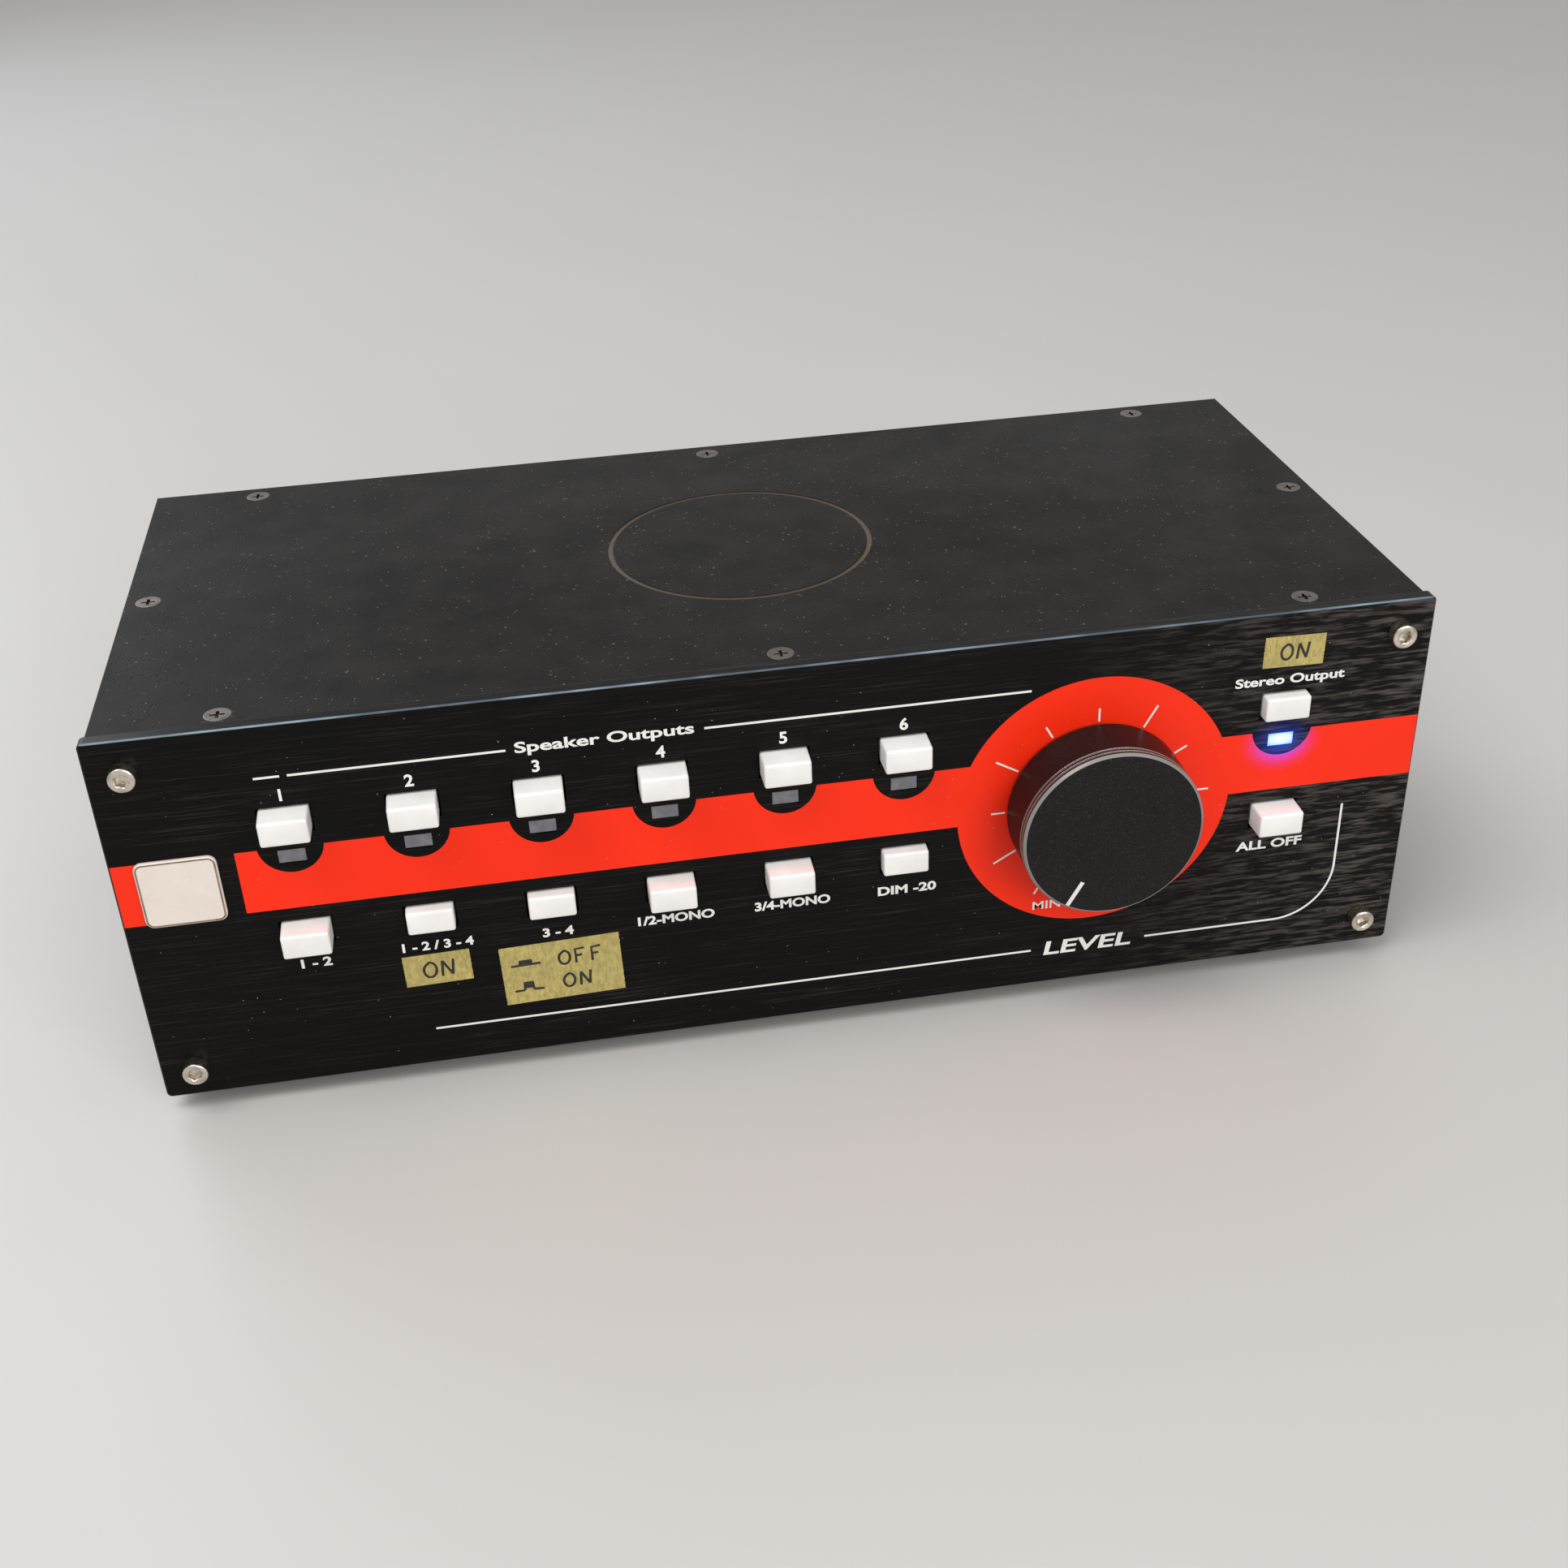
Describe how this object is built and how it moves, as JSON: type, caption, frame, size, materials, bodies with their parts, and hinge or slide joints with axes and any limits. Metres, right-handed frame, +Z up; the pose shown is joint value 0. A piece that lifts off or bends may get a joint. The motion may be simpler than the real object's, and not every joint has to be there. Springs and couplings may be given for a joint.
{
  "type": "studio monitor controller",
  "caption": "Desktop surround monitor controller: brushed black front with rows of latching push buttons, indicator lights and one large volume knob, with line sockets at the rear.",
  "frame": {"origin": "centre of the footprint of the whole object, on the plane that its feet stand on", "axes": "+X to the right seen from the front, +Y from the front panel to the rear, +Z up"},
  "size_m": [0.278, 0.1488, 0.092],
  "materials": {
    "panel_black": "black anodised, brushed along its length, with red and white print",
    "case_black": "fine textured satin black powder coat",
    "badge_white": "gloss white with a thin border",
    "screw_nickel": "bright nickel",
    "screw_black": "black oxide",
    "board_green": "solder mask",
    "spacer_brass": "machined",
    "switch_black": "moulded",
    "plunger_grey": "moulded",
    "cap_white": "smooth moulded white",
    "led_grey": "diffused grey lens",
    "led_blue": "lit blue lens",
    "pot_metal": "plated",
    "knob_black": "bead blasted black anodise with turned grooves",
    "pointer_white": "white fill",
    "shell_nickel": "nickel plated",
    "jack_black": "moulded",
    "foot_rubber": "matte",
    "tape_yellow": "crepe paper tape with pen writing"
  },
  "bodies": {
    "case": {"front_panel": "panel_black", "badge_plate": "badge_white", "chassis_tray": "case_black", "top_cover": "case_black", "rear_panel": "case_black", "panel_screws": "screw_nickel", "cover_screws": "screw_black", "rear_screws": "screw_black", "control_board": "board_green", "board_spacers": "spacer_brass", "board_screws": "screw_nickel", "switch_housings": "switch_black", "leds_unlit": "led_grey", "led_lit": "led_blue", "pot_housing": "pot_metal", "pot_nut": "screw_nickel", "connector_board": "board_green", "multipin_sockets": "shell_nickel", "multipin_posts": "screw_nickel", "jack_bodies": "jack_black", "jack_nuts": "shell_nickel", "power_inlet": "jack_black", "link_board": "board_green", "feet": "foot_rubber", "tape_left": "tape_yellow", "tape_legend": "tape_yellow", "tape_right": "tape_yellow"},
    "volume_knob": {"knob_shell": "knob_black", "knob_pointer": "pointer_white", "knob_set_screw": "screw_nickel", "pot_shaft": "pot_metal"},
    "upper_1_button": {"upper_1_cap": "cap_white", "upper_1_plunger": "plunger_grey"},
    "upper_2_button": {"upper_2_cap": "cap_white", "upper_2_plunger": "plunger_grey"},
    "upper_3_button": {"upper_3_cap": "cap_white", "upper_3_plunger": "plunger_grey"},
    "upper_4_button": {"upper_4_cap": "cap_white", "upper_4_plunger": "plunger_grey"},
    "upper_5_button": {"upper_5_cap": "cap_white", "upper_5_plunger": "plunger_grey"},
    "upper_6_button": {"upper_6_cap": "cap_white", "upper_6_plunger": "plunger_grey"},
    "upper_stereo_button": {"upper_stereo_cap": "cap_white", "upper_stereo_plunger": "plunger_grey"},
    "lower_1_button": {"lower_1_cap": "cap_white", "lower_1_plunger": "plunger_grey"},
    "lower_2_button": {"lower_2_cap": "cap_white", "lower_2_plunger": "plunger_grey"},
    "lower_3_button": {"lower_3_cap": "cap_white", "lower_3_plunger": "plunger_grey"},
    "lower_4_button": {"lower_4_cap": "cap_white", "lower_4_plunger": "plunger_grey"},
    "lower_5_button": {"lower_5_cap": "cap_white", "lower_5_plunger": "plunger_grey"},
    "lower_6_button": {"lower_6_cap": "cap_white", "lower_6_plunger": "plunger_grey"},
    "lower_mute_button": {"lower_mute_cap": "cap_white", "lower_mute_plunger": "plunger_grey"}
  },
  "joints": [
    {"name": "volume_turn", "type": "hinge", "parent": "case", "child": "volume_knob", "pos_m": [0.0662, -0.0606, 0.0511], "axis": [0, 1, 0], "range_deg": [0, 300]},
    {"name": "upper_1_press", "type": "slide", "parent": "case", "child": "upper_1_button", "axis": [0, 1, 0], "range_m": [0, 0.0036], "stiffness_N_per_m": 500, "springref_m": -0.002},
    {"name": "upper_2_press", "type": "slide", "parent": "case", "child": "upper_2_button", "axis": [0, 1, 0], "range_m": [0, 0.0036], "stiffness_N_per_m": 500, "springref_m": -0.002},
    {"name": "upper_3_press", "type": "slide", "parent": "case", "child": "upper_3_button", "axis": [0, 1, 0], "range_m": [0, 0.0036], "stiffness_N_per_m": 500, "springref_m": -0.002},
    {"name": "upper_4_press", "type": "slide", "parent": "case", "child": "upper_4_button", "axis": [0, 1, 0], "range_m": [0, 0.0036], "stiffness_N_per_m": 500, "springref_m": -0.002},
    {"name": "upper_5_press", "type": "slide", "parent": "case", "child": "upper_5_button", "axis": [0, 1, 0], "range_m": [0, 0.0036], "stiffness_N_per_m": 500, "springref_m": -0.002},
    {"name": "upper_6_press", "type": "slide", "parent": "case", "child": "upper_6_button", "axis": [0, 1, 0], "range_m": [0, 0.0036], "stiffness_N_per_m": 500, "springref_m": -0.002},
    {"name": "upper_stereo_press", "type": "slide", "parent": "case", "child": "upper_stereo_button", "axis": [0, 1, 0], "range_m": [-0.0031, 0.0005]},
    {"name": "lower_1_press", "type": "slide", "parent": "case", "child": "lower_1_button", "axis": [0, 1, 0], "range_m": [0, 0.0036], "stiffness_N_per_m": 500, "springref_m": -0.002},
    {"name": "lower_2_press", "type": "slide", "parent": "case", "child": "lower_2_button", "axis": [0, 1, 0], "range_m": [-0.0031, 0.0005]},
    {"name": "lower_3_press", "type": "slide", "parent": "case", "child": "lower_3_button", "axis": [0, 1, 0], "range_m": [-0.0031, 0.0005]},
    {"name": "lower_4_press", "type": "slide", "parent": "case", "child": "lower_4_button", "axis": [0, 1, 0], "range_m": [0, 0.0036], "stiffness_N_per_m": 500, "springref_m": -0.002},
    {"name": "lower_5_press", "type": "slide", "parent": "case", "child": "lower_5_button", "axis": [0, 1, 0], "range_m": [0, 0.0036], "stiffness_N_per_m": 500, "springref_m": -0.002},
    {"name": "lower_6_press", "type": "slide", "parent": "case", "child": "lower_6_button", "axis": [0, 1, 0], "range_m": [-0.0031, 0.0005]},
    {"name": "lower_mute_press", "type": "slide", "parent": "case", "child": "lower_mute_button", "axis": [0, 1, 0], "range_m": [0, 0.0036], "stiffness_N_per_m": 500, "springref_m": -0.002}
  ]
}
